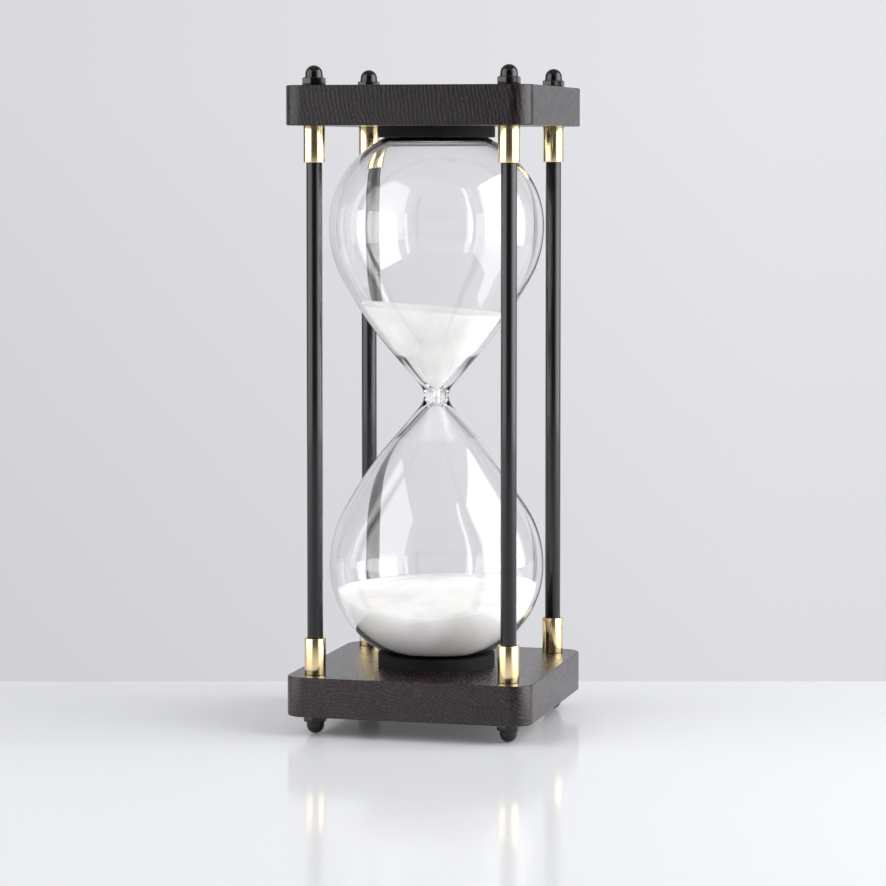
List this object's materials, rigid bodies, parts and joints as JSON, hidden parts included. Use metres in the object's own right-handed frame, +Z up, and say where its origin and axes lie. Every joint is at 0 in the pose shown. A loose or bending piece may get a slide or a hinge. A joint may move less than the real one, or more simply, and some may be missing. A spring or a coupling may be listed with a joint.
{
  "type": "hourglass",
  "caption": "Large sand timer: a clear double glass bulb with white sand between square dark wooden plates, on slim black pillars with brass ferrules and cap nuts.",
  "frame": {"origin": "on the standing surface, under the middle of the base, at the height of the feet's lowest points", "axes": "+Z up along the glass's axis, -Y out of the front side, +X out of the right side"},
  "size_m": [0.12, 0.12, 0.319],
  "materials": {
    "dark_stained_wood": "semi-gloss lacquer",
    "clear_glass": "polished",
    "white_sand": "fine dry grains",
    "black_seat_rubber": "matte",
    "stopper_rubber": "matte",
    "black_tube": "satin",
    "polished_brass": "polished",
    "plain_steel": "rolled thread",
    "black_nickel": "gloss"
  },
  "bodies": {
    "root": {"base_plate": "dark_stained_wood", "top_plate": "dark_stained_wood", "glass_bulb": "clear_glass", "fill_stopper": "stopper_rubber", "lower_seat": "black_seat_rubber", "upper_seat": "black_seat_rubber", "lower_sand": "white_sand", "upper_sand": "white_sand", "tie_rod_front_left": "plain_steel", "tie_rod_front_right": "plain_steel", "tie_rod_back_left": "plain_steel", "tie_rod_back_right": "plain_steel", "tube_front_left": "black_tube", "tube_front_right": "black_tube", "tube_back_left": "black_tube", "tube_back_right": "black_tube", "lower_ferrule_front_left": "polished_brass", "lower_ferrule_front_right": "polished_brass", "lower_ferrule_back_left": "polished_brass", "lower_ferrule_back_right": "polished_brass", "upper_ferrule_front_left": "polished_brass", "upper_ferrule_front_right": "polished_brass", "upper_ferrule_back_left": "polished_brass", "upper_ferrule_back_right": "polished_brass", "foot_nut_front_left": "black_nickel", "foot_nut_front_right": "black_nickel", "foot_nut_back_left": "black_nickel", "foot_nut_back_right": "black_nickel", "finial_nut_front_left": "black_nickel", "finial_nut_front_right": "black_nickel", "finial_nut_back_left": "black_nickel", "finial_nut_back_right": "black_nickel"}
  },
  "joints": []
}
